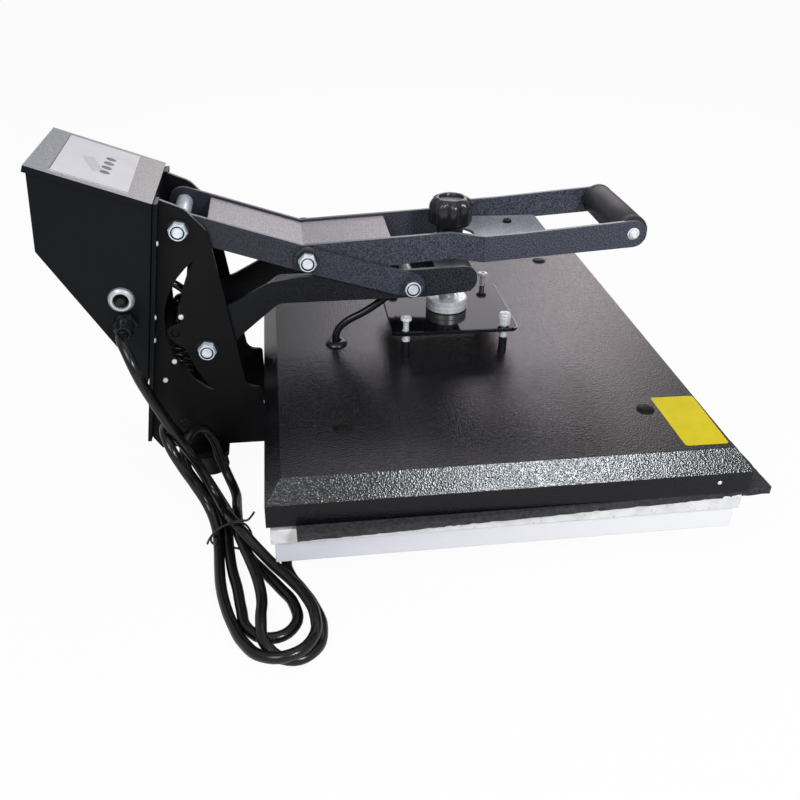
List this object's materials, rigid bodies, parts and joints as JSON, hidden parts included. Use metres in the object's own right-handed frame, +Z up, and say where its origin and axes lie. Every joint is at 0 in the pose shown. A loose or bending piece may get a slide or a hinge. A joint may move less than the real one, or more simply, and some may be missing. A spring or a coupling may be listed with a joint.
{
  "type": "clamshell heat press",
  "caption": "Clamshell heat press, closed: hinged hot platen under a bevelled cover, toggle lever with roller grip, pressure knob, rear control box and tied mains lead.",
  "frame": {"origin": "bottom centre of the bounding box, at floor level under the feet (measured without the mains lead); the y = 0 plane is the machine's mid-plane to within 2.3 mm", "axes": "+X runs to the front, where the grip is; +Z is up; +Y is the side of the power switch, and the mains lead leaves on the -Y side"},
  "size_m": [0.6164, 0.5745, 0.33],
  "materials": {
    "hammertone": "hammered grey-black paint",
    "grey_paint": "fine hammered light grey paint",
    "gloss_black": "gloss",
    "satin_black": "satin powder coat",
    "zinc": "bright zinc plate",
    "spring_steel": "black oiled",
    "aluminium": "cast and milled",
    "rubber": "matt",
    "cable": "smooth satin jacket",
    "black_plastic": "fine grain",
    "gloss_plastic": "polished",
    "sponge": "open-cell silicone sponge",
    "fibre": "ceramic fibre felt",
    "board_green": "solder mask"
  },
  "bodies": {
    "frame": {"foot_rear_left": "rubber", "foot_rear_right": "rubber", "foot_front_left": "rubber", "foot_front_right": "rubber", "rear_crossbar": "hammertone", "front_crossbar": "hammertone", "side_plate_left": "hammertone", "side_plate_right": "hammertone", "frame_cross_plate": "hammertone", "spring_anchor_rod": "zinc", "return_spring_left": "spring_steel", "return_spring_right": "spring_steel", "lower_tray": "aluminium", "lower_platen": "aluminium", "silicone_pad": "sponge", "control_box": "satin_black", "control_panel": "grey_paint", "circuit_board": "board_green", "breaker_body": "zinc", "cord_gland": "black_plastic", "switch_housing": "black_plastic", "lever_pivot_bolt": "zinc", "arm_pivot_bolt": "zinc", "heater_cable_loop": "cable", "power_cord": "cable", "cord_hank": "cable", "power_plug": "black_plastic"},
    "arm": {"arm_plate_left": "hammertone", "arm_plate_right": "hammertone", "screw_block": "hammertone", "toggle_shaft": "zinc", "spring_pin": "zinc", "heater_cable": "cable"},
    "upper_platen": {"heat_platen": "aluminium", "insulation_blanket": "fibre", "cover": "hammertone", "cable_grommet": "rubber", "support_plate": "gloss_black", "platen_bolt_rear_left": "zinc", "platen_bolt_rear_right": "zinc", "platen_bolt_front_left": "zinc", "platen_bolt_front_right": "zinc", "screw_collar": "zinc"},
    "screw": {"pressure_screw": "zinc", "pressure_knob": "gloss_plastic"},
    "lever": {"lever_bar_left": "hammertone", "lever_bar_right": "hammertone", "lever_rear_web": "hammertone", "lever_front_web": "hammertone", "grip": "rubber", "grip_bolt": "zinc", "link_bolt": "zinc"},
    "links": {"link_plate_left": "hammertone", "link_plate_right": "hammertone"},
    "breaker_reset": {"breaker_button": "black_plastic"},
    "mains_rocker": {"switch_rocker": "gloss_plastic"},
    "button_1": {"panel_button_1": "black_plastic"},
    "button_2": {"panel_button_2": "black_plastic"},
    "button_3": {"panel_button_3": "black_plastic"},
    "button_4": {"panel_button_4": "black_plastic"}
  },
  "joints": [
    {"name": "arm_lift", "type": "hinge", "parent": "frame", "child": "arm", "pos_m": [-0.17357, 0, 0.143], "axis": [0, -1, 0], "range_deg": [0, 48], "deforming": ["return_spring_left", "return_spring_right", "heater_cable_loop"]},
    {"name": "lever_swing", "type": "hinge", "parent": "frame", "child": "lever", "pos_m": [-0.18857, 0, 0.264], "axis": [0, -1, 0], "range_deg": [0, 98.93]},
    {"name": "link_swing", "type": "hinge", "parent": "lever", "child": "links", "pos_m": [-0.07541, 0, 0.22984], "axis": [0, -1, 0], "range_deg": [-113.37, 0]},
    {"name": "platen_slide", "type": "slide", "parent": "arm", "child": "upper_platen", "axis": [0, 0, 1], "range_m": [0, 0.006]},
    {"name": "knob_turn", "type": "hinge", "parent": "upper_platen", "child": "screw", "pos_m": [0.06643, 0, 0.2], "axis": [0, 0, 1], "range_deg": [0, 1080]},
    {"name": "breaker_press", "type": "slide", "parent": "frame", "child": "breaker_reset", "axis": [0, 1, 0], "range_m": [0, 0.0025], "stiffness_N_per_m": 600},
    {"name": "rocker_tilt", "type": "hinge", "parent": "frame", "child": "mains_rocker", "pos_m": [-0.25257, 0.0623, 0.204], "axis": [0, 0, -1], "range_deg": [0, 10]},
    {"name": "button_1_press", "type": "slide", "parent": "frame", "child": "button_1", "axis": [-0.3394, 0, -0.9406], "range_m": [0, 0.0008], "stiffness_N_per_m": 400},
    {"name": "button_2_press", "type": "slide", "parent": "frame", "child": "button_2", "axis": [-0.3394, 0, -0.9406], "range_m": [0, 0.0008], "stiffness_N_per_m": 400},
    {"name": "button_3_press", "type": "slide", "parent": "frame", "child": "button_3", "axis": [-0.3394, 0, -0.9406], "range_m": [0, 0.0008], "stiffness_N_per_m": 400},
    {"name": "button_4_press", "type": "slide", "parent": "frame", "child": "button_4", "axis": [-0.3394, 0, -0.9406], "range_m": [0, 0.0008], "stiffness_N_per_m": 400}
  ],
  "couplings": [
    {"joint": "lever_swing", "follows": "arm_lift", "ratio": 2.0611},
    {"joint": "link_swing", "follows": "arm_lift", "ratio": -2.3619},
    {"joint": "knob_turn", "follows": "platen_slide", "rad_per_m": 3141.6}
  ]
}
